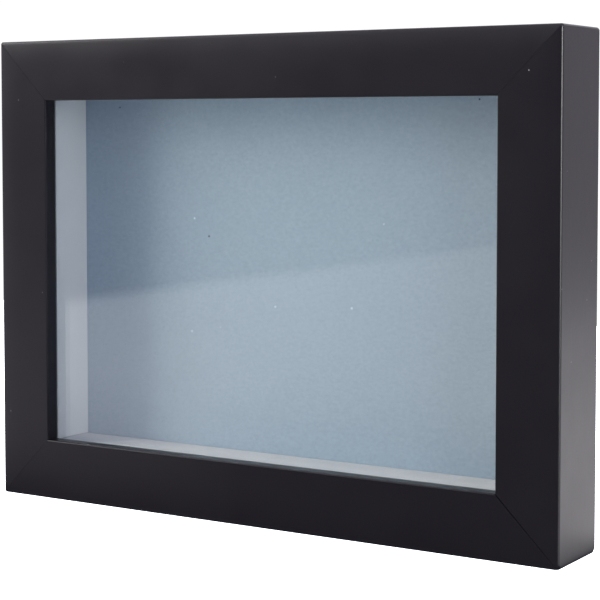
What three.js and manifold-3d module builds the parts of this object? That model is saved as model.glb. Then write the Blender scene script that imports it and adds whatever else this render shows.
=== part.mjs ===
// A shadow box: a deep mitred picture frame that stands on its bottom edge and loads from the rear.
// Four rabbeted rails hold a pane of glass, spacer strips keep a display card away from it, and a
// backing board closes the rear under four turn buttons. Millimetres, +Z up, the front faces -Y,
// and left and right are as seen from the front. The origin is the middle of the whole footprint.

import * as THREE from "three";
import { mergeVertices } from "three/addons/utils/BufferGeometryUtils.js";
import Module from "manifold-3d";

const wasm = await Module();
wasm.setup();

// Frame moulding
const OUTER_WIDTH = 201;
const OUTER_HEIGHT = 150;
const RAIL_DEPTH = 26;
const FACE_WIDTH = 19.4;
const LIP_THICKNESS = 4.8;
const RABBET_WIDTH = 8.2;
const WALL_THICKNESS = FACE_WIDTH - RABBET_WIDTH;
const FRONT_ARRIS = 0.8;
const SIGHT_ARRIS = 0.5;
const REAR_ARRIS = 0.6;
const SEAT_ARRIS = 0.3;
// The outer corners are eased along their length, and a little more at their front and rear ends,
// most of all where one has been knocked
const CORNER_RADIUS = 0.9;
const CORNER_END_EASINGS = { top_left: 1, top_right: 1.2, bottom_left: 1, bottom_right: 2 };
// The front face falls away a little towards the outer face
const CROWN_WIDTH = 11;
const CROWN_FALL = 0.42;
const CROWN_STEPS = 8;
// Each mitre is a hairline, and two have opened a little at the front of the sight edge. Both are
// measured along either rail.
const MITRE_HAIRLINE = 0.03;
const MITRE_OPENINGS = { top_left: 0.03, top_right: 0, bottom_left: 0, bottom_right: 0.2 };

// The pack that lies in the rabbet, from the glass at the front to the board at the rear
const INSERT_WIDTH = 177.8;
const INSERT_HEIGHT = 127;
const GLASS_THICKNESS = 2;
const CARD_THICKNESS = 1;
const BOARD_THICKNESS = 2.4;
const BOARD_CHAMFER = 0.3;
const STACK_PLAY = 0.1;
const SPACER_THICKNESS = 7.2;
const SPACER_JOINT_GAP = 0.1;

// Rear hardware
const BUTTON_SPACING = 110;
const BUTTON_REACH = 17;
const BUTTON_PIVOT_RADIUS = 5;
const BUTTON_TIP_RADIUS = 3.6;
const BUTTON_THICKNESS = 1.2;
const BUTTON_BEVEL = 0.2;
const BUTTON_PLAY = 0.3;
const SCREW_RADIUS = 1.4;
const SCREW_HEAD_RADIUS = 2.9;
const SCREW_HEAD_HEIGHT = 1.4;
const SCREW_BITE = 9;
const SCREW_PLAY = 0.2;
const HANGER_LENGTH = 44;
const HANGER_HEIGHT = 8;
const HANGER_SHEET = 0.8;
const HANGER_RISE = 1.8;
const HANGER_TAB = 8;
const HANGER_RAMP = 2.5;
const HANGER_TEETH = 11;
const HANGER_TOOTH_DEPTH = 1.5;
const NAIL_RADIUS = 0.6;
const NAIL_HEAD_RADIUS = 1.6;
const NAIL_HEAD_HEIGHT = 0.6;
const NAIL_BITE = 8;
const BUMPER_RADIUS = 4;
const BUMPER_THICKNESS = 3.5;
const BUMPER_ARRIS = 0.9;
const V_NAIL_SHEET = 0.5;
const V_NAIL_LEG = 6;
const V_NAIL_HEIGHT = 7;
const V_NAIL_INSET = 4.6;
const HOLE_PLAY = 0.2;
const SEAT_GAP = 0.03;

// Levels along Y, from the front face back
const FRONT = -(RAIL_DEPTH + BUMPER_THICKNESS + SEAT_GAP) / 2;
const GLASS_FRONT = FRONT + LIP_THICKNESS;
const SPACER_FRONT = GLASS_FRONT + GLASS_THICKNESS;
const REAR = FRONT + RAIL_DEPTH;
const BOARD_FRONT = REAR - BOARD_THICKNESS;
const CARD_FRONT = BOARD_FRONT - CARD_THICKNESS;
const SPACER_DEPTH = CARD_FRONT - STACK_PLAY - SPACER_FRONT;
const MIDDLE_HEIGHT = OUTER_HEIGHT / 2;

// How far a cut runs on past the surface that it opens
const CUT_MARGIN = 1;
const CURVE_SEGMENTS = 6;
const ROUND_SEGMENTS = 24;

const blackLacquer = { color: 0x232126, roughness: 0.42, metalness: 0 };
const clearGlass = { color: 0xdfeaec, roughness: 0.03, metalness: 0, transparent: true, opacity: 0.25 };
const paleBoard = { color: 0xc4cacd, roughness: 0.9, metalness: 0 };
const blueGreyCard = { color: 0x9dadbb, roughness: 0.95, metalness: 0 };
const hardboard = { color: 0x6b4a32, roughness: 0.8, metalness: 0 };
const zincSteel = { color: 0xb4b6b8, roughness: 0.35, metalness: 1 };
const brassPlate = { color: 0xb8964e, roughness: 0.35, metalness: 1 };
const greyRubber = { color: 0x2f3031, roughness: 0.85, metalness: 0 };

const shadowBox = new THREE.Group();

function place(name, geometry, finish, position, turn = [0, 0, 0]) {
  const mesh = new THREE.Mesh(geometry, new THREE.MeshStandardMaterial(finish));
  mesh.name = name;
  mesh.position.set(...position);
  mesh.rotation.set(...turn);
  shadowBox.add(mesh);
  return mesh;
}

// A closed geometry as a solid that can be cut
function toSolid(geometry) {
  const bare = geometry.clone();
  bare.deleteAttribute("normal");
  bare.deleteAttribute("uv");
  const merged = mergeVertices(bare, 1e-4);
  const vertProperties = new Float32Array(merged.attributes.position.array);
  const triVerts = new Uint32Array(merged.index.array);
  return new wasm.Manifold(new wasm.Mesh({ numProp: 3, vertProperties, triVerts }));
}

function toGeometry(solid) {
  const { numProp, vertProperties, triVerts } = solid.getMesh();
  const geometry = new THREE.BufferGeometry();
  const positions = new Float32Array((vertProperties.length / numProp) * 3);
  for (let i = 0; i < positions.length / 3; i += 1) {
    positions.set(vertProperties.subarray(i * numProp, i * numProp + 3), i * 3);
  }
  geometry.setAttribute("position", new THREE.BufferAttribute(positions, 3));
  geometry.setIndex(new THREE.BufferAttribute(new Uint32Array(triVerts), 1));
  geometry.computeVertexNormals();
  return geometry;
}

// Cuts the cutters, wherever they stand, out of a placed mesh
function carve(mesh, cutters) {
  mesh.updateMatrixWorld(true);
  const toLocal = mesh.matrixWorld.clone().invert();
  let body = toSolid(mesh.geometry);
  for (const cutter of cutters) {
    cutter.updateMatrixWorld(true);
    const shift = toLocal.clone().multiply(cutter.matrixWorld);
    body = body.subtract(toSolid(cutter.geometry.clone().applyMatrix4(shift)));
  }
  mesh.geometry = toGeometry(body);
}

function cutterAt(geometry, position, turn = [0, 0, 0]) {
  const cutter = new THREE.Mesh(geometry);
  cutter.position.set(...position);
  cutter.rotation.set(...turn);
  return cutter;
}

// A closed outline through corners [x, y, radius], each rounded by its own radius
function roundedShape(corners) {
  const shape = new THREE.Shape();
  corners.forEach(([x, y, radius], i) => {
    const corner = new THREE.Vector2(x, y);
    const towards = (j) => {
      const [nextX, nextY] = corners[(j + corners.length) % corners.length];
      const direction = new THREE.Vector2(nextX, nextY).sub(corner).normalize();
      return corner.clone().addScaledVector(direction, radius);
    };
    const start = towards(i - 1);
    const end = towards(i + 1);
    if (i === 0) shape.moveTo(start.x, start.y);
    else shape.lineTo(start.x, start.y);
    if (radius > 0) shape.quadraticCurveTo(x, y, end.x, end.y);
  });
  shape.closePath();
  return shape;
}

// A round piece turned about its own Y axis, from [radius, height] points that start and end on the axis
function turned(points, segments = ROUND_SEGMENTS) {
  return new THREE.LatheGeometry(points.map(([radius, y]) => new THREE.Vector2(radius, y)), segments);
}

function roundBar(radius, from, to) {
  return turned([[0, from], [radius, from], [radius, to], [0, to]]);
}

// One length of moulding with mitred ends. In its own frame +X runs inward from the outer face,
// +Y back from the front face and Z along the rail. Each end is pulled in by its distance from the
// outer face, which is what cuts the mitre, by the hairline, and by the opening, which closes
// towards the rear, where a V-nail holds it, and towards the outer face.
function mouldingGeometry(length, [lowOpening, highOpening]) {
  const crown = Array.from({ length: CROWN_STEPS }, (_, i) => {
    const share = (i + 1) / CROWN_STEPS;
    return [CROWN_WIDTH * share, CROWN_FALL * (1 - share) ** 3, 0];
  });
  const profile = roundedShape([
    [0, CROWN_FALL, FRONT_ARRIS],
    ...crown,
    [FACE_WIDTH, 0, SIGHT_ARRIS],
    [FACE_WIDTH, LIP_THICKNESS, SIGHT_ARRIS / 2],
    [WALL_THICKNESS, LIP_THICKNESS, 0],
    [WALL_THICKNESS, RAIL_DEPTH, SEAT_ARRIS],
    [0, RAIL_DEPTH, REAR_ARRIS],
  ]);
  const geometry = new THREE.ExtrudeGeometry(profile, {
    depth: length,
    steps: 1,
    bevelEnabled: false,
    curveSegments: CURVE_SEGMENTS,
  });
  const position = geometry.attributes.position;
  for (let i = 0; i < position.count; i += 1) {
    const high = position.getZ(i) > length / 2;
    const inward = position.getX(i);
    const openness = (inward / FACE_WIDTH) * (1 - position.getY(i) / RAIL_DEPTH);
    const gap = MITRE_HAIRLINE + (high ? highOpening : lowOpening) * openness;
    const reach = length / 2 - inward - gap;
    position.setZ(i, high ? reach : -reach);
  }
  return geometry;
}

// The four rails. Each is the left rail turned about Y, so that +X points at the middle of the box,
// and its ends are named in the order in which they stand along its own Z.
const railPlaces = {
  left: {
    length: OUTER_HEIGHT,
    at: [-OUTER_WIDTH / 2, MIDDLE_HEIGHT],
    turn: 0,
    ends: ["bottom_left", "top_left"],
  },
  bottom: { length: OUTER_WIDTH, at: [0, 0], turn: -Math.PI / 2, ends: ["bottom_right", "bottom_left"] },
  right: {
    length: OUTER_HEIGHT,
    at: [OUTER_WIDTH / 2, MIDDLE_HEIGHT],
    turn: Math.PI,
    ends: ["top_right", "bottom_right"],
  },
  top: { length: OUTER_WIDTH, at: [0, OUTER_HEIGHT], turn: Math.PI / 2, ends: ["top_left", "top_right"] },
};
const rails = {};
for (const [side, { length, at, turn, ends }] of Object.entries(railPlaces)) {
  const moulding = mouldingGeometry(length, ends.map((corner) => MITRE_OPENINGS[corner]));
  rails[side] = place(`rail_${side}`, moulding, blackLacquer, [at[0], FRONT, at[1]], [0, turn, 0]);
}

// Glass, spacer strips, display card and backing board
function slab(width, depth, height) {
  return new THREE.BoxGeometry(width, depth, height);
}

place("glass_pane", slab(INSERT_WIDTH, GLASS_THICKNESS, INSERT_HEIGHT), clearGlass, [
  0,
  GLASS_FRONT + GLASS_THICKNESS / 2,
  MIDDLE_HEIGHT,
]);

const SPACER_Y = SPACER_FRONT + SPACER_DEPTH / 2;
const SIDE_SPACER_HEIGHT = INSERT_HEIGHT - 2 * (SPACER_THICKNESS + SPACER_JOINT_GAP);
for (const [side, sign] of [["left", -1], ["right", 1]]) {
  const x = sign * (INSERT_WIDTH - SPACER_THICKNESS) / 2;
  const strip = slab(SPACER_THICKNESS, SPACER_DEPTH, SIDE_SPACER_HEIGHT);
  place(`spacer_${side}`, strip, paleBoard, [x, SPACER_Y, MIDDLE_HEIGHT]);
}
for (const [side, sign] of [["bottom", -1], ["top", 1]]) {
  const z = MIDDLE_HEIGHT + sign * (INSERT_HEIGHT - SPACER_THICKNESS) / 2;
  place(`spacer_${side}`, slab(INSERT_WIDTH, SPACER_DEPTH, SPACER_THICKNESS), paleBoard, [0, SPACER_Y, z]);
}

place("display_card", slab(INSERT_WIDTH, CARD_THICKNESS, INSERT_HEIGHT), blueGreyCard, [
  0,
  CARD_FRONT + CARD_THICKNESS / 2,
  MIDDLE_HEIGHT,
]);

// The board's rear edges are broken by a small chamfer
function boardGeometry() {
  const inset = BOARD_CHAMFER;
  const outline = roundedShape([
    [-INSERT_WIDTH / 2 + inset, -INSERT_HEIGHT / 2 + inset, 0],
    [INSERT_WIDTH / 2 - inset, -INSERT_HEIGHT / 2 + inset, 0],
    [INSERT_WIDTH / 2 - inset, INSERT_HEIGHT / 2 - inset, 0],
    [-INSERT_WIDTH / 2 + inset, INSERT_HEIGHT / 2 - inset, 0],
  ]);
  return new THREE.ExtrudeGeometry(outline, {
    depth: BOARD_THICKNESS - 2 * inset,
    bevelThickness: inset,
    bevelSize: inset,
    bevelSegments: 1,
  });
}

// A plate is drawn in X and Y, and this stands it up, its thickness running forward from its rear
const UPRIGHT = [Math.PI / 2, 0, 0];
place("backing_board", boardGeometry(), hardboard, [0, REAR - BOARD_CHAMFER, MIDDLE_HEIGHT], UPRIGHT);

// Turn buttons and their screws, two on the top rail and two on the bottom. At rest each lies along
// its rail, clear of the board, and it turns a quarter turn to lock.
function buttonGeometry() {
  const tipCentre = BUTTON_REACH - BUTTON_TIP_RADIUS;
  const tangent = Math.acos((BUTTON_PIVOT_RADIUS - BUTTON_TIP_RADIUS) / tipCentre);
  const shape = new THREE.Shape();
  shape.absarc(0, 0, BUTTON_PIVOT_RADIUS - BUTTON_BEVEL, tangent, 2 * Math.PI - tangent);
  shape.absarc(tipCentre, 0, BUTTON_TIP_RADIUS - BUTTON_BEVEL, -tangent, tangent);
  const hole = new THREE.Path();
  hole.absarc(0, 0, SCREW_RADIUS + HOLE_PLAY + BUTTON_BEVEL, 0, 2 * Math.PI, true);
  shape.holes.push(hole);
  return new THREE.ExtrudeGeometry(shape, {
    depth: BUTTON_THICKNESS - 2 * BUTTON_BEVEL,
    bevelThickness: BUTTON_BEVEL,
    bevelSize: BUTTON_BEVEL,
    bevelSegments: 1,
    curveSegments: ROUND_SEGMENTS / 2,
  });
}

// A cross-recess pan-head screw along +Y, its underside of head at y = 0
function screwGeometry() {
  const bite = SCREW_BITE + BUTTON_PLAY + BUTTON_THICKNESS + SCREW_PLAY;
  const blank = turned([
    [0, -bite],
    [SCREW_RADIUS, -bite + 2 * SCREW_RADIUS],
    [SCREW_RADIUS, 0],
    [SCREW_HEAD_RADIUS, 0],
    [SCREW_HEAD_RADIUS, SCREW_HEAD_HEIGHT * 0.4],
    [SCREW_HEAD_RADIUS * 0.86, SCREW_HEAD_HEIGHT * 0.8],
    [SCREW_HEAD_RADIUS * 0.5, SCREW_HEAD_HEIGHT],
    [0, SCREW_HEAD_HEIGHT],
  ]);
  const slotLength = SCREW_HEAD_RADIUS * 1.1;
  const slotWidth = SCREW_HEAD_RADIUS * 0.24;
  const screw = new THREE.Mesh(blank);
  carve(screw, [
    cutterAt(slab(slotLength, SCREW_HEAD_HEIGHT, slotWidth), [0, SCREW_HEAD_HEIGHT, 0]),
    cutterAt(slab(slotWidth, SCREW_HEAD_HEIGHT, slotLength), [0, SCREW_HEAD_HEIGHT, 0]),
  ]);
  return screw.geometry;
}

const SCREW_SEAT = REAR + BUTTON_PLAY + BUTTON_THICKNESS + SCREW_PLAY;
for (const [level, z] of [["bottom", WALL_THICKNESS / 2], ["top", OUTER_HEIGHT - WALL_THICKNESS / 2]]) {
  for (const [side, sign] of [["left", -1], ["right", 1]]) {
    const x = (sign * BUTTON_SPACING) / 2;
    const outward = sign > 0 ? 0 : Math.PI;
    const button = buttonGeometry().rotateZ(outward);
    const buttonY = REAR + BUTTON_PLAY + BUTTON_THICKNESS - BUTTON_BEVEL;
    place(`turn_button_${level}_${side}`, button, zincSteel, [x, buttonY, z], UPRIGHT);
    place(`button_screw_${level}_${side}`, screwGeometry(), zincSteel, [x, SCREW_SEAT, z]);
    const pilot = roundBar(SCREW_RADIUS + HOLE_PLAY, -SCREW_BITE - HOLE_PLAY, CUT_MARGIN);
    carve(rails[level], [cutterAt(pilot, [x, REAR, z])]);
  }
}

// Sawtooth hangers: a flat tab at each end, and between them a bar that stands off the wood with
// teeth along its inner edge. In its own frame X runs along the hanger, Y off the wood, and the
// teeth face -Z.
function hangerGeometry() {
  const tabEnd = HANGER_LENGTH / 2 - HANGER_TAB;
  const barEnd = tabEnd - HANGER_RAMP;
  const half = [
    [HANGER_LENGTH / 2, 0],
    [HANGER_LENGTH / 2, HANGER_SHEET],
    [tabEnd - HANGER_SHEET * 0.4, HANGER_SHEET],
    [barEnd, HANGER_RISE + HANGER_SHEET],
  ];
  const underside = [[barEnd + HANGER_SHEET * 0.4, HANGER_RISE], [tabEnd, 0]];
  const mirrored = (points) => points.map(([x, y]) => [-x, y]).reverse();
  const outline = [...half, ...mirrored(half), ...mirrored(underside), ...underside];
  const strip = new THREE.ExtrudeGeometry(roundedShape(outline.map(([x, y]) => [x, y, 0])), {
    depth: HANGER_HEIGHT,
    steps: 1,
    bevelEnabled: false,
  });
  strip.translate(0, 0, -HANGER_HEIGHT / 2);

  const hanger = new THREE.Mesh(strip);
  const pitch = (2 * barEnd) / HANGER_TEETH;
  const notchRadius = pitch * 0.78;
  const notch = new THREE.CylinderGeometry(notchRadius, notchRadius, 4 * HANGER_SHEET, 3);
  notch.scale(1, 1, HANGER_TOOTH_DEPTH / notchRadius);
  const cutters = [];
  for (let i = 0; i < HANGER_TEETH; i += 1) {
    const x = (i - (HANGER_TEETH - 1) / 2) * pitch;
    cutters.push(cutterAt(notch, [x, HANGER_RISE, -HANGER_HEIGHT / 2]));
  }
  const nailHole = roundBar(NAIL_RADIUS + HOLE_PLAY, -CUT_MARGIN, HANGER_SHEET + CUT_MARGIN);
  for (const end of [-1, 1]) {
    cutters.push(cutterAt(nailHole, [end * (HANGER_LENGTH - HANGER_TAB) / 2, 0, 0]));
  }
  carve(hanger, cutters);
  return hanger.geometry;
}

// A round-headed nail along +Y, its underside of head at y = 0
function nailGeometry() {
  return turned([
    [0, -NAIL_BITE],
    [NAIL_RADIUS, -NAIL_BITE + 3 * NAIL_RADIUS],
    [NAIL_RADIUS, 0],
    [NAIL_HEAD_RADIUS, 0],
    [NAIL_HEAD_RADIUS, NAIL_HEAD_HEIGHT * 0.4],
    [NAIL_HEAD_RADIUS * 0.6, NAIL_HEAD_HEIGHT],
    [0, NAIL_HEAD_HEIGHT],
  ], ROUND_SEGMENTS / 2);
}

// One hanger on the top rail, and one on the right rail for hanging the box upright
const hangerPlaces = {
  top: { at: [0, OUTER_HEIGHT - WALL_THICKNESS / 2], turn: 0, along: [1, 0], ends: ["left", "right"] },
  right: {
    at: [OUTER_WIDTH / 2 - WALL_THICKNESS / 2, MIDDLE_HEIGHT],
    turn: Math.PI / 2,
    along: [0, 1],
    ends: ["lower", "upper"],
  },
};
const NAIL_SEAT = REAR + HANGER_SHEET + 2 * SEAT_GAP;
for (const [side, { at, turn, along, ends }] of Object.entries(hangerPlaces)) {
  const [x, z] = at;
  place(`sawtooth_hanger_${side}`, hangerGeometry(), brassPlate, [x, REAR + SEAT_GAP, z], [0, turn, 0]);
  ends.forEach((end, i) => {
    const reach = (i - 0.5) * (HANGER_LENGTH - HANGER_TAB);
    const nailX = x + along[0] * reach;
    const nailZ = z + along[1] * reach;
    place(`hanger_nail_${side}_${end}`, nailGeometry(), brassPlate, [nailX, NAIL_SEAT, nailZ]);
    const pilot = roundBar(NAIL_RADIUS + HOLE_PLAY, -NAIL_BITE, CUT_MARGIN);
    carve(rails[side], [cutterAt(pilot, [nailX, REAR, nailZ])]);
  });
}

// Rubber bumpers, which keep the box level off the wall, and V-nails across the rear of each mitre
function bumperGeometry() {
  return turned([
    [0, 0],
    [BUMPER_RADIUS, 0],
    [BUMPER_RADIUS, BUMPER_THICKNESS - BUMPER_ARRIS],
    [BUMPER_RADIUS - BUMPER_ARRIS * 0.3, BUMPER_THICKNESS - BUMPER_ARRIS * 0.3],
    [BUMPER_RADIUS - BUMPER_ARRIS, BUMPER_THICKNESS],
    [0, BUMPER_THICKNESS],
  ]);
}

// A V of sheet steel seen from behind, its point towards the outer corner and its legs at right
// angles, one in each rail. In its own frame the outer corner is at the origin and the rails run
// along +X and +Y.
function vNailGeometry(sheet, height) {
  const near = V_NAIL_INSET - sheet / 2;
  const far = V_NAIL_INSET + sheet / 2;
  const end = V_NAIL_INSET + V_NAIL_LEG + (sheet - V_NAIL_SHEET) / 2;
  const shape = roundedShape([
    [near, near, 0],
    [end, near, 0],
    [end, far, 0],
    [far, far, 0],
    [far, end, 0],
    [near, end, 0],
  ]);
  return new THREE.ExtrudeGeometry(shape, { depth: height, steps: 1, bevelEnabled: false });
}

// What is taken off an outer corner to ease it, from in front of the frame to behind it. In its own
// frame the corner is at the origin and the rails run along +X and +Y.
function cornerEasing() {
  const shape = new THREE.Shape();
  shape.moveTo(-CUT_MARGIN, -CUT_MARGIN);
  shape.lineTo(CORNER_RADIUS, -CUT_MARGIN);
  shape.lineTo(CORNER_RADIUS, 0);
  shape.absarc(CORNER_RADIUS, CORNER_RADIUS, CORNER_RADIUS, -Math.PI / 2, -Math.PI, true);
  shape.lineTo(-CUT_MARGIN, CORNER_RADIUS);
  shape.closePath();
  return new THREE.ExtrudeGeometry(shape, {
    depth: RAIL_DEPTH + 2 * CUT_MARGIN,
    steps: 1,
    bevelEnabled: false,
    curveSegments: CURVE_SEGMENTS,
  });
}

const bumperReach = BUTTON_SPACING / 2 + BUTTON_REACH + 2.5 * BUMPER_RADIUS;
for (const [level, z] of [["bottom", WALL_THICKNESS / 2], ["top", OUTER_HEIGHT - WALL_THICKNESS / 2]]) {
  for (const [side, sign] of [["left", -1], ["right", 1]]) {
    place(`bumper_${level}_${side}`, bumperGeometry(), greyRubber, [sign * bumperReach, REAR + SEAT_GAP, z]);
  }
}

const corners = {
  bottom_left: { at: [-OUTER_WIDTH / 2, 0], turn: 0 },
  bottom_right: { at: [OUTER_WIDTH / 2, 0], turn: -Math.PI / 2 },
  top_right: { at: [OUTER_WIDTH / 2, OUTER_HEIGHT], turn: Math.PI },
  top_left: { at: [-OUTER_WIDTH / 2, OUTER_HEIGHT], turn: Math.PI / 2 },
};
for (const [corner, { at, turn }] of Object.entries(corners)) {
  const nail = vNailGeometry(V_NAIL_SHEET, V_NAIL_HEIGHT).rotateX(Math.PI / 2);
  place(`v_nail_${corner}`, nail, zincSteel, [at[0], REAR - HOLE_PLAY, at[1]], [0, turn, 0]);
  const slot = vNailGeometry(V_NAIL_SHEET + 2 * HOLE_PLAY, V_NAIL_HEIGHT + 2 * HOLE_PLAY);
  const slotCutter = cutterAt(slot.rotateX(Math.PI / 2), [at[0], REAR + SEAT_GAP, at[1]], [0, turn, 0]);
  const easingPlace = [at[0], REAR + CUT_MARGIN, at[1]];
  const easing = cutterAt(cornerEasing().rotateX(Math.PI / 2), easingPlace, [0, turn, 0]);
  const ends = [FRONT + CROWN_FALL, REAR].map((y) => {
    return cutterAt(new THREE.OctahedronGeometry(CORNER_END_EASINGS[corner]), [at[0], y, at[1]]);
  });
  for (const side of corner.split("_")) carve(rails[side], [slotCutter, easing, ...ends]);
}

export default shadowBox;
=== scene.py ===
# The looks of a black shadow box: lacquered mitred rails, glass, pale spacer strips, a blue-grey
# display card, and behind them a hardboard back with zinc, brass and rubber hardware. Metres, +Z up,
# the front faces -Y.
import math

import bpy
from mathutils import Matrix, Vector


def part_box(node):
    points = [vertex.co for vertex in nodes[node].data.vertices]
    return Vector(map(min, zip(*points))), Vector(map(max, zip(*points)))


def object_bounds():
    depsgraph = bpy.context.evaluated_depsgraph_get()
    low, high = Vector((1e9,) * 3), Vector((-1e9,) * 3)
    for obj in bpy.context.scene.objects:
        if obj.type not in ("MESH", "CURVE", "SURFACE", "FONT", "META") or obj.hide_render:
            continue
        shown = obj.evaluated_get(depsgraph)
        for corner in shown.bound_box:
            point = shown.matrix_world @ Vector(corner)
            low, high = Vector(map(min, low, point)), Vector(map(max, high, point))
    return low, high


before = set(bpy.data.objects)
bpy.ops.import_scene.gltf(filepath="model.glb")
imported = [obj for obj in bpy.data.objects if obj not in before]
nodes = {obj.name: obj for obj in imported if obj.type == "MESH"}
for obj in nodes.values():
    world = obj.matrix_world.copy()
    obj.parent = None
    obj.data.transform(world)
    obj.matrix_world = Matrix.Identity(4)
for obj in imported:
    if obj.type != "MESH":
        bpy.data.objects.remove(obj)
cad_low, cad_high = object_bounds()

WIDTH = cad_high.x - cad_low.x
HEIGHT = cad_high.z - cad_low.z
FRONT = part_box("rail_left")[0].y

# Camera: where it stands, how far it turns left of +Y and looks down, and its lens and sensor
CAMERA_PLACE = Vector((0.2967, -0.4594, 0.1214))
CAMERA_TURN = math.radians(32.195)
CAMERA_DROP = math.radians(3.2)
CAMERA_LENS = 106.4
CAMERA_SENSOR = 36.0
CAMERA_SHIFT_Y = -0.12
CAMERA_CLIP_START = 0.01

RAILS = ["rail_left", "rail_right", "rail_top", "rail_bottom"]

# The pale table that the box stands on: its edges, how far it lies below the box, and how far in
# from its left edge its mirrored light grows
TABLE_LEFT = -0.55
TABLE_BACK = 0.56
TABLE_RIGHT = 1.3
TABLE_FRONT = -1.5
TABLE_SINK = 0.0001
TABLE_EDGE_FADE = 0.09

# The light on the table that only the glass mirrors: its edges, how far in front of its near edge it
# reaches full strength, its height above the foot of the box, and its power
GLOW_LEFT = TABLE_LEFT
GLOW_RIGHT = 0.15
GLOW_NEAR = -0.09
GLOW_NEAR_FADE = 0.18
GLOW_LIFT = 0.0002
GLOW_POWER = 2.0

# Rubbed front arrises of the lacquer: half the width over which the rub fades, and how ragged it is
RUB_FADE = 0.0002
RUB_RAGGEDNESS = 0.0007

# The share of a speck's radius that is full strength. From there it fades to its rim.
SPECK_CORE = 0.6

# How surfaces are smoothed: the angle past which an edge stays sharp, the angle past which it is
# rounded, the segments of that rounding, how near two corners are to be welded, and how much more
# than small faces the big ones set the shading
SHARP_ANGLE = math.radians(32)
ROUNDED_ANGLE = math.radians(35)
ROUNDED_SEGMENTS = 2
WELD_DISTANCE = 0.000002
FACE_AREA_WEIGHT = 100

# Keeps a divisor off zero
TINY = 0.001


# ---------------------------------------------------------------- node helpers

def add(tree, kind, inputs=None, **settings):
    """A shader node with its settings, and with its inputs either linked or set."""
    made = tree.nodes.new(kind)
    for key, value in settings.items():
        setattr(made, key, value)
    for key, value in (inputs or {}).items():
        socket = made.inputs[key]
        if isinstance(value, bpy.types.NodeSocket):
            tree.links.new(value, socket)
        else:
            socket.default_value = value
    return made


def maths(tree, operation, first, second=0.0, clamp=False):
    inputs = {0: first, 1: second}
    return add(tree, "ShaderNodeMath", inputs, operation=operation, use_clamp=clamp).outputs[0]


def product(tree, first, second):
    return maths(tree, "MULTIPLY", first, second)


def difference(tree, first, second):
    return maths(tree, "SUBTRACT", first, second)


def ramp(tree, value, low, high, start=0.0, end=1.0):
    """start where value is low, end where it is high, and a smooth step from one to the other."""
    inputs = {"Value": value, "From Min": low, "From Max": high, "To Min": start, "To Max": end}
    return add(tree, "ShaderNodeMapRange", inputs, interpolation_type="SMOOTHSTEP").outputs["Result"]


def mixed(tree, share, first, second):
    """A colour that goes from first to second as share goes from 0 to 1."""
    made = add(tree, "ShaderNodeMix", {0: share}, data_type="RGBA")
    for index, colour in ((6, first), (7, second)):
        socket = made.inputs[index]
        if isinstance(colour, bpy.types.NodeSocket):
            tree.links.new(colour, socket)
        else:
            socket.default_value = (*colour, 1.0)
    return made.outputs[2]


def noise(tree, place, size, detail=3.0, roughness=0.55, stretch=(1, 1, 1)):
    """Cloudy values within 0 to 1. Features are size metres across, and longer along a stretched
    axis."""
    squeeze = {0: place, 1: tuple(1 / factor for factor in stretch)}
    scaled = add(tree, "ShaderNodeVectorMath", squeeze, operation="MULTIPLY")
    inputs = {"Vector": scaled.outputs[0], "Scale": 1 / size, "Detail": detail, "Roughness": roughness}
    return add(tree, "ShaderNodeTexNoise", inputs).outputs["Fac"]


def specks(tree, place, spacing, radius, share):
    """1 in round specks of that radius, in that share of a jittered 3-D grid, and 0 elsewhere.
    A surface shows only the few that it cuts through."""
    cells = add(tree, "ShaderNodeTexVoronoi", {"Vector": place, "Scale": 1 / spacing})
    reach = radius / spacing
    dot = ramp(tree, cells.outputs["Distance"], reach * SPECK_CORE, reach, 1.0, 0.0)
    pick = add(tree, "ShaderNodeSeparateColor", {0: cells.outputs["Color"]}).outputs[0]
    return product(tree, dot, maths(tree, "LESS_THAN", pick, share))


def bumped(tree, height, depth, below=None):
    """A normal for a surface whose height runs over depth metres, on top of the normal below."""
    inputs = {"Height": height, "Strength": 1.0, "Distance": depth}
    if below is not None:
        inputs["Normal"] = below
    return add(tree, "ShaderNodeBump", inputs).outputs["Normal"]


def seen_through_glass(tree):
    """1 on what the camera sees straight through glass, with nothing mirrored or scattered between."""
    rays = add(tree, "ShaderNodeLightPath").outputs
    others = difference(tree, rays["Ray Depth"], rays["Transmission Depth"])
    return product(tree, rays["Is Transmission Ray"], maths(tree, "LESS_THAN", others, 0.5))


def new_material(name):
    """A material with its tree, its main shader and the place on the object."""
    material = bpy.data.materials.new(name)
    material.use_nodes = True
    tree = material.node_tree
    place = add(tree, "ShaderNodeTexCoord").outputs["Object"]
    return material, tree, tree.nodes["Principled BSDF"], place


def feed(tree, shader, inputs):
    """Links or sets the shader's inputs."""
    for key, value in inputs.items():
        if isinstance(value, bpy.types.NodeSocket):
            tree.links.new(value, shader.inputs[key])
        else:
            shader.inputs[key].default_value = value


# ---------------------------------------------------------------- materials

def edge_distances(tree, place):
    """Distances in from the left or right of the box, from its top or bottom, and from its front."""
    x, y, z = add(tree, "ShaderNodeSeparateXYZ", {0: place}).outputs
    side = difference(tree, WIDTH / 2, maths(tree, "ABSOLUTE", x))
    off_middle = difference(tree, z, HEIGHT / 2)
    level = difference(tree, HEIGHT / 2, maths(tree, "ABSOLUTE", off_middle))
    depth = difference(tree, y, FRONT)
    return side, level, depth


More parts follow.
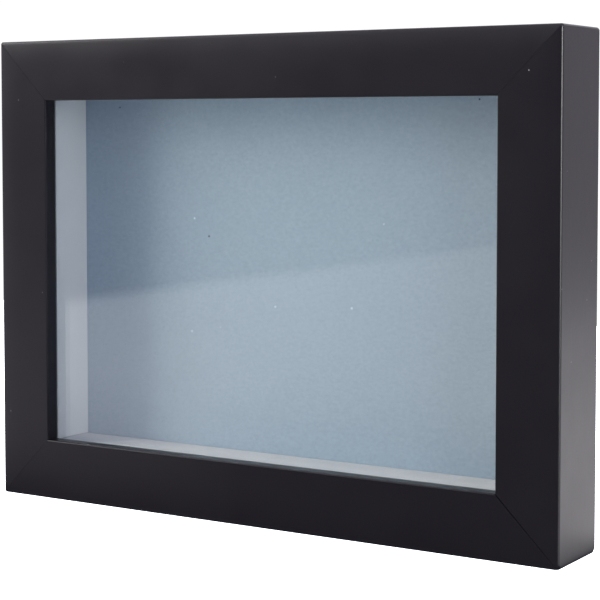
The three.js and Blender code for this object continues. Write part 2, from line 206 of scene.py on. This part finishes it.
def lacquer(name, along):
    """Satin black lacquer over fine wood, its grain along the rail."""
    material, tree, shader, place = new_material(name)
    stretch = tuple(30 if axis == along else 1 for axis in "xyz")
    side, level, depth = edge_distances(tree, place)

    pores = noise(tree, place, 0.0004, detail=4, stretch=stretch)
    peel = noise(tree, place, 0.0009, detail=2)
    waves = noise(tree, place, 0.012, detail=2)
    smudge = noise(tree, place, 0.03, detail=5, roughness=0.65)
    dust = specks(tree, place, spacing=0.008, radius=0.00024, share=0.9)

    # Rubbed arrises: the outer front edges of the box, in patches
    near_edge = maths(tree, "ADD", maths(tree, "MINIMUM", side, level), depth)
    chatter = product(tree, noise(tree, place, 0.004, detail=6), -RUB_RAGGEDNESS)
    ragged = maths(tree, "ADD", near_edge, chatter)
    patches = ramp(tree, noise(tree, place, 0.014, detail=3), 0.50, 0.72)
    worn = product(tree, ramp(tree, ragged, -RUB_FADE, RUB_FADE, 1.0, 0.0), patches)

    tone = mixed(tree, smudge, (0.0037, 0.0029, 0.0050), (0.0051, 0.0041, 0.0069))
    tone = mixed(tree, product(tree, worn, 0.5), tone, (0.060, 0.056, 0.058))
    tone = mixed(tree, product(tree, dust, 0.5), tone, (0.26, 0.26, 0.27))

    gloss = ramp(tree, smudge, 0.3, 0.7, 0.29, 0.34)
    gloss = maths(tree, "ADD", gloss, product(tree, pores, 0.04))

    normal = bumped(tree, waves, depth=0.000036)
    normal = bumped(tree, peel, depth=0.0000085, below=normal)
    normal = bumped(tree, pores, depth=0.0000055, below=normal)
    feed(tree, shader, {
        "Base Color": tone, "Roughness": gloss, "Normal": normal, "Specular IOR Level": 0.29,
    })
    return material


def glazing(name):
    """Clear float glass, faintly green at its left and right edges. Shadow rays pass straight
    through."""
    material, tree, shader, place = new_material(name)
    split = add(tree, "ShaderNodeSeparateXYZ", {0: place})
    low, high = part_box("glass_pane")
    x_edge = difference(tree, high.x, maths(tree, "ABSOLUTE", split.outputs[0]))
    edge = ramp(tree, x_edge, 0.0, 0.002, 1.0, 0.0)
    tint = mixed(tree, edge, (0.965, 0.985, 0.985), (0.62, 0.82, 0.74))
    ripple = noise(tree, place, 0.05, detail=1)
    feed(tree, shader, {
        "Base Color": tint, "Roughness": 0.0, "IOR": 1.5, "Transmission Weight": 1.0,
        "Normal": bumped(tree, ripple, depth=0.00002),
    })
    clear = add(tree, "ShaderNodeBsdfTransparent", {"Color": (0.93, 0.955, 0.955, 1.0)})
    rays = add(tree, "ShaderNodeLightPath")
    both = add(tree, "ShaderNodeMixShader", {
        0: rays.outputs["Is Shadow Ray"], 1: shader.outputs[0], 2: clear.outputs[0],
    })
    tree.links.new(both.outputs[0], tree.nodes["Material Output"].inputs["Surface"])
    return material


def board_paper(name):
    """Pale foam-centred board: smooth paper with a little fibre."""
    material, tree, shader, place = new_material(name)
    fibre = noise(tree, place, 0.0006, detail=5, roughness=0.7, stretch=(1, 4, 1))
    cloud = noise(tree, place, 0.012, detail=3)
    tone = mixed(tree, cloud, (0.556, 0.568, 0.622), (0.602, 0.615, 0.668))
    tone = mixed(tree, ramp(tree, fibre, 0.55, 0.8, 0.0, 0.35), tone, (0.492, 0.507, 0.558))
    feed(tree, shader, {
        "Base Color": tone, "Roughness": ramp(tree, fibre, 0.3, 0.7, 0.70, 0.85),
        "Normal": bumped(tree, fibre, depth=0.00002), "Specular IOR Level": 0.3,
    })
    return material


def card_paper(name):
    """Blue-grey card, softly mottled, with a few light and dark flecks."""
    material, tree, shader, place = new_material(name)
    cloud = noise(tree, place, 0.02, detail=4, roughness=0.6)
    mottle = noise(tree, place, 0.0012, detail=4, roughness=0.75)
    fibre = noise(tree, place, 0.0008, detail=3, roughness=0.7, stretch=(1.6, 1, 1))
    tone = mixed(tree, cloud, (0.286, 0.367, 0.478), (0.310, 0.391, 0.501))
    tone = mixed(tree, ramp(tree, mottle, 0.40, 0.62, 0.0, 0.55), tone, (0.340, 0.418, 0.530))
    tone = mixed(tree, ramp(tree, fibre, 0.42, 0.68, 0.0, 0.38), tone, (0.240, 0.318, 0.420))
    light_fleck = specks(tree, place, spacing=0.010, radius=0.00042, share=0.45)
    dark_fleck = specks(tree, place, spacing=0.012, radius=0.00040, share=0.45)
    tone = mixed(tree, product(tree, light_fleck, 0.9), tone, (0.64, 0.72, 0.82))
    tone = mixed(tree, product(tree, dark_fleck, 0.95), tone, (0.03, 0.04, 0.06))
    feed(tree, shader, {
        "Base Color": tone, "Roughness": ramp(tree, mottle, 0.3, 0.7, 0.80, 0.92),
        "Normal": bumped(tree, fibre, depth=0.00003), "Specular IOR Level": 0.25,
    })
    return material


def hardboard(name):
    """Brown hardboard, smooth side out, of dark and light fibres pressed flat."""
    material, tree, shader, place = new_material(name)
    fibre = noise(tree, place, 0.0012, detail=6, roughness=0.75, stretch=(3, 1, 1))
    cross = noise(tree, place, 0.0011, detail=6, roughness=0.75, stretch=(1, 1, 3))
    cloud = noise(tree, place, 0.03, detail=4)
    tone = mixed(tree, cloud, (0.098, 0.054, 0.023), (0.134, 0.076, 0.034))
    tone = mixed(tree, ramp(tree, fibre, 0.5, 0.75, 0.0, 0.7), tone, (0.050, 0.026, 0.012))
    tone = mixed(tree, ramp(tree, cross, 0.55, 0.8, 0.0, 0.6), tone, (0.195, 0.120, 0.058))
    feed(tree, shader, {
        "Base Color": tone, "Roughness": ramp(tree, fibre, 0.3, 0.7, 0.45, 0.65),
        "Normal": bumped(tree, fibre, depth=0.00004), "Specular IOR Level": 0.4,
    })
    return material


def plated(name, bright, dull, roughness):
    """Plated sheet metal with fine rolling lines, handling marks and duller patches."""
    material, tree, shader, place = new_material(name)
    lines = noise(tree, place, 0.00025, detail=3, stretch=(25, 1, 1))
    marks = noise(tree, place, 0.0035, detail=6, roughness=0.7)
    tone = mixed(tree, ramp(tree, marks, 0.35, 0.7), bright, dull)
    gloss = maths(tree, "ADD", ramp(tree, marks, 0.3, 0.7, roughness - 0.06, roughness + 0.12),
                  product(tree, lines, 0.10))
    normal = bumped(tree, marks, depth=0.00002)
    normal = bumped(tree, lines, depth=0.000004, below=normal)
    feed(tree, shader, {"Base Color": tone, "Metallic": 1.0, "Roughness": gloss, "Normal": normal})
    return material


def rubber(name):
    """Dark grey rubber with a fine moulded grain and a little chalky bloom."""
    material, tree, shader, place = new_material(name)
    grain = noise(tree, place, 0.0003, detail=3)
    bloom = noise(tree, place, 0.004, detail=4)
    tone = mixed(tree, ramp(tree, bloom, 0.4, 0.75), (0.022, 0.022, 0.023), (0.055, 0.055, 0.056))
    feed(tree, shader, {
        "Base Color": tone, "Roughness": ramp(tree, bloom, 0.3, 0.7, 0.62, 0.80),
        "Normal": bumped(tree, grain, depth=0.00001), "Specular IOR Level": 0.4,
    })
    return material


lacquer_across = lacquer("black_lacquer_across", "x")
lacquer_upright = lacquer("black_lacquer_upright", "z")
zinc = plated("zinc_plate", (0.62, 0.63, 0.64), (0.42, 0.43, 0.44), roughness=0.28)
brass = plated("brass_plate", (0.72, 0.52, 0.22), (0.46, 0.32, 0.13), roughness=0.26)
# By the start of a node's name
finishes = {
    "rail_left": lacquer_upright,
    "rail_right": lacquer_upright,
    "rail_bottom": lacquer_across,
    "rail_top": lacquer_across,
    "glass_pane": glazing("clear_glass"),
    "spacer": board_paper("pale_board"),
    "display_card": card_paper("blue_grey_card"),
    "backing_board": hardboard("hardboard"),
    "turn_button": zinc,
    "button_screw": zinc,
    "v_nail": zinc,
    "sawtooth_hanger": brass,
    "hanger_nail": brass,
    "bumper": rubber("grey_rubber"),
}


# ---------------------------------------------------------------- surfaces of the CAD nodes

def smoothing_group():
    """A modifier's node group that shades faces smooth and keeps edges over an angle sharp."""
    group = bpy.data.node_groups.new("smooth_by_angle", "GeometryNodeTree")
    group.interface.new_socket("Mesh", in_out="INPUT", socket_type="NodeSocketGeometry")
    group.interface.new_socket("Mesh", in_out="OUTPUT", socket_type="NodeSocketGeometry")
    source = group.nodes.new("NodeGroupInput")
    result = group.nodes.new("NodeGroupOutput")
    angle = group.nodes.new("GeometryNodeInputMeshEdgeAngle")
    compared = {0: angle.outputs[0], 1: SHARP_ANGLE}
    over = add(group, "FunctionNodeCompare", compared, operation="GREATER_THAN")
    faces = group.nodes.new("GeometryNodeSetShadeSmooth")
    faces.domain = "FACE"
    edges = group.nodes.new("GeometryNodeSetShadeSmooth")
    edges.domain = "EDGE"
    edges.inputs["Shade Smooth"].default_value = False
    group.links.new(source.outputs[0], faces.inputs["Geometry"])
    group.links.new(faces.outputs[0], edges.inputs["Geometry"])
    group.links.new(over.outputs[0], edges.inputs["Selection"])
    group.links.new(edges.outputs[0], result.inputs[0])
    return group


# How wide each node's sharp edges are rounded, by the start of its name
EDGE_WIDTHS = {
    "rail": 0.00005,
    "glass_pane": 0.00015,
    "spacer": 0.00015,
    "display_card": 0.00008,
    "backing_board": 0.00010,
    "button_screw": 0.00006,
    "v_nail": 0.00006,
    "sawtooth_hanger": 0.00010,
    "hanger_nail": 0.00005,
    "turn_button": 0.00004,
    "bumper": 0.00008,
}


def by_prefix(table, name):
    """The first value of the table whose key starts the name."""
    return next(value for prefix, value in table.items() if name.startswith(prefix))


smoothing = smoothing_group()
for name, node in nodes.items():
    node.data.materials.clear()
    node.data.materials.append(by_prefix(finishes, name))
    custom = node.data.attributes.get("custom_normal")
    if custom is not None:
        node.data.attributes.remove(custom)
    weld = node.modifiers.new("weld", "WELD")
    weld.merge_threshold = WELD_DISTANCE
    edge = node.modifiers.new("edge", "BEVEL")
    edge.limit_method = "ANGLE"
    edge.angle_limit = ROUNDED_ANGLE
    edge.width = by_prefix(EDGE_WIDTHS, name)
    edge.segments = ROUNDED_SEGMENTS
    shading = node.modifiers.new("smoothing", "NODES")
    shading.node_group = smoothing
    flats = node.modifiers.new("flats", "WEIGHTED_NORMAL")
    flats.weight = FACE_AREA_WEIGHT
    flats.keep_sharp = True


# ---------------------------------------------------------------- stage, light and camera

def table_top():
    """The pale table. What is mirrored of it is painted light and shade that goes by place: painted
    shade in front of the box and close to it, brighter to the left, and brightest behind and past its
    right side."""
    mesh = bpy.data.meshes.new("table_top")
    corners = [(TABLE_LEFT, TABLE_FRONT, 0), (TABLE_RIGHT, TABLE_FRONT, 0),
               (TABLE_RIGHT, TABLE_BACK, 0), (TABLE_LEFT, TABLE_BACK, 0)]
    mesh.from_pydata(corners, [], [(0, 1, 2, 3)])
    table = bpy.data.objects.new("table_top", mesh)
    table.location.z = cad_low.z - TABLE_SINK
    bpy.context.scene.collection.objects.link(table)

    material, tree, shader, _ = new_material("pale_table")
    position = add(tree, "ShaderNodeNewGeometry").outputs["Position"]
    x, y, _ = add(tree, "ShaderNodeSeparateXYZ", {0: position}).outputs

    # How far a place is from the box
    past_sides = difference(tree, maths(tree, "ABSOLUTE", x), WIDTH / 2)
    past_faces = difference(tree, maths(tree, "ABSOLUTE", y), -FRONT)
    beside = maths(tree, "MAXIMUM", past_sides, 0.0)
    before = maths(tree, "MAXIMUM", past_faces, 0.0)
    squares = maths(tree, "ADD", maths(tree, "POWER", beside, 2.0), maths(tree, "POWER", before, 2.0))
    away = maths(tree, "SQRT", squares)

    # In front of the box: straight ahead, and to the left
    bearing = maths(tree, "DIVIDE", x, maths(tree, "MINIMUM", y, -TINY))
    leftward = ramp(tree, bearing, 0.40, 1.10)
    ahead_light = ramp(tree, away, 0.03, 0.34, 0.03, 0.165)
    left_light = ramp(tree, away, 0.00, 0.13, 0.12, 0.95)
    ahead_part = product(tree, ahead_light, difference(tree, 1.0, leftward))
    front_light = maths(tree, "ADD", product(tree, left_light, leftward), ahead_part)

    # Behind the box and past its right side
    back_light = ramp(tree, away, 0.00, 0.03, 0.95, 2.15)
    past_side = difference(tree, x, WIDTH / 2)
    behind_face = difference(tree, y, FRONT)
    slope = maths(tree, "DIVIDE", behind_face, maths(tree, "MAXIMUM", past_side, TINY))
    rightward = product(tree, ramp(tree, past_side, 0.0, 0.004), ramp(tree, slope, -1.0, -0.5))
    behind = maths(tree, "MAXIMUM", ramp(tree, y, 0.0, 0.06), rightward)

    front_part = product(tree, front_light, difference(tree, 1.0, behind))
    strength = maths(tree, "ADD", front_part, product(tree, back_light, behind))
    strength = product(tree, strength, ramp(tree, x, TABLE_LEFT, TABLE_LEFT + TABLE_EDGE_FADE))
    feed(tree, shader, {
        "Base Color": (0.93, 0.93, 0.93, 1.0), "Roughness": 0.9,
        "Emission Color": (0.88, 0.95, 1.0, 1.0), "Emission Strength": 2.5,
    })
    # Painted light for mirrors only, with painted shade in front of the box and close to it
    glow = add(tree, "ShaderNodeEmission", {"Color": (0.99, 0.965, 1.0, 1.0), "Strength": strength})
    glossy = add(tree, "ShaderNodeLightPath").outputs["Is Glossy Ray"]
    mirrored = maths(tree, "SUBTRACT", glossy, seen_through_glass(tree), clamp=True)
    both = add(tree, "ShaderNodeMixShader", {0: mirrored, 1: shader.outputs[0], 2: glow.outputs[0]})
    tree.links.new(both.outputs[0], tree.nodes["Material Output"].inputs["Surface"])
    mesh.materials.append(material)


def studio_world():
    """A plain white surround for the eye. What lights the box is dim in front, and brighter above,
    behind and at the left."""
    world = bpy.data.worlds.new("studio")
    world.use_nodes = True
    tree = world.node_tree
    tree.nodes.clear()
    direction = add(tree, "ShaderNodeTexCoord").outputs["Generated"]
    x, y, z = add(tree, "ShaderNodeSeparateXYZ", {0: direction}).outputs
    left = ramp(tree, x, -0.62, -0.90, 0.0, 0.75)
    back = ramp(tree, y, -0.1, 0.6, 0.0, 0.66)
    above = ramp(tree, z, 0.05, 0.85, 0.0, 1.35)
    total = maths(tree, "ADD", maths(tree, "ADD", left, back), maths(tree, "ADD", above, 0.04))
    rays = add(tree, "ShaderNodeLightPath")
    studio = add(tree, "ShaderNodeBackground", {"Color": (0.98, 0.945, 1.04, 1.0), "Strength": total})
    plain = add(tree, "ShaderNodeBackground", {"Color": (1, 1, 1, 1), "Strength": 1.05})
    seen = maths(tree, "MAXIMUM", rays.outputs["Is Camera Ray"], seen_through_glass(tree))
    both = add(tree, "ShaderNodeMixShader", {0: seen, 1: studio.outputs[0], 2: plain.outputs[0]})
    output = add(tree, "ShaderNodeOutputWorld")
    tree.links.new(both.outputs[0], output.inputs["Surface"])
    bpy.context.scene.world = world


def softbox(name, left, up, distance, width, height, power):
    """A light that faces the middle of the box from distance metres away, left degrees round from the
    front and up degrees above it."""
    across = math.radians(left)
    rise = math.radians(up)
    flat = math.cos(rise)
    way = Vector((-math.sin(across) * flat, -math.cos(across) * flat, math.sin(rise)))
    place = Vector((0.0, 0.0, HEIGHT / 2)) + way * distance
    light = bpy.data.lights.new(name, "AREA")
    light.shape = "RECTANGLE"
    light.size = width
    light.size_y = height
    light.energy = power
    box = bpy.data.objects.new(name, light)
    box.location = place
    box.rotation_euler = (-way).to_track_quat("-Z", "Y").to_euler()
    bpy.context.scene.collection.objects.link(box)
    return box


def table_glow():
    """A light that lies on the table facing up, for the glass to mirror as the table's bright far part.
    It fades towards its left and near edges."""
    light = bpy.data.lights.new("glow", "AREA")
    light.shape = "RECTANGLE"
    light.size = GLOW_RIGHT - GLOW_LEFT
    light.size_y = GLOW_NEAR - TABLE_FRONT
    light.energy = GLOW_POWER
    light.use_nodes = True
    tree = light.node_tree
    position = add(tree, "ShaderNodeNewGeometry").outputs["Position"]
    x, y, _ = add(tree, "ShaderNodeSeparateXYZ", {0: position}).outputs
    from_left = ramp(tree, x, GLOW_LEFT, GLOW_LEFT + TABLE_EDGE_FADE)
    from_near = ramp(tree, y, GLOW_NEAR, GLOW_NEAR - GLOW_NEAR_FADE)
    share = product(tree, from_left, from_near)
    tree.links.new(share, tree.nodes["Emission"].inputs["Strength"])
    made = bpy.data.objects.new("glow", light)
    middle_x = (GLOW_LEFT + GLOW_RIGHT) / 2
    middle_y = (GLOW_NEAR + TABLE_FRONT) / 2
    made.location = (middle_x, middle_y, cad_low.z + GLOW_LIFT)
    made.rotation_euler = (math.pi, 0.0, 0.0)
    bpy.context.scene.collection.objects.link(made)
    return made


def only_on(light, names):
    """Keeps a light off every object but the named nodes."""
    receivers = bpy.data.collections.new(f"{light.name}_receivers")
    for name in names:
        receivers.objects.link(nodes[name])
    light.light_linking.receiver_collection = receivers


def camera():
    """The camera at the photo's angle."""
    data = bpy.data.cameras.new("camera")
    data.lens = CAMERA_LENS
    data.sensor_width = CAMERA_SENSOR
    data.shift_y = CAMERA_SHIFT_Y
    data.clip_start = CAMERA_CLIP_START
    made = bpy.data.objects.new("camera", data)
    made.location = CAMERA_PLACE
    made.rotation_euler = (math.pi / 2 - CAMERA_DROP, 0.0, CAMERA_TURN)
    bpy.context.scene.collection.objects.link(made)
    bpy.context.scene.camera = made


table_top()
studio_world()

# The warm main light, which nothing mirrors, and a weaker one from the right
key = softbox("key", left=62, up=12, distance=1.1, width=0.50, height=0.85, power=12.1)
key.visible_glossy = False
key.data.color = (1.0, 0.90, 0.72)
softbox("fill", left=-62, up=10, distance=1.0, width=0.47, height=0.47, power=2.1)

# These are set to give shine only, and each is kept to the pieces that it shines on
sheen = softbox("sheen", left=64, up=27, distance=1.1, width=0.50, height=0.50, power=6.4)
rim = softbox("rim", left=-64, up=11, distance=1.02, width=0.60, height=0.44, power=15.0)
band = softbox("band", left=36, up=21, distance=1.1, width=1.10, height=0.24, power=1.25)
glow = table_glow()
only_on(sheen, RAILS)
only_on(rim, ["rail_right"])
only_on(band, RAILS)
only_on(glow, ["glass_pane"])
for light in (sheen, rim, band, glow):
    light.visible_diffuse = False
    light.visible_transmission = False

camera()
bpy.context.scene.view_settings.view_transform = "Standard"
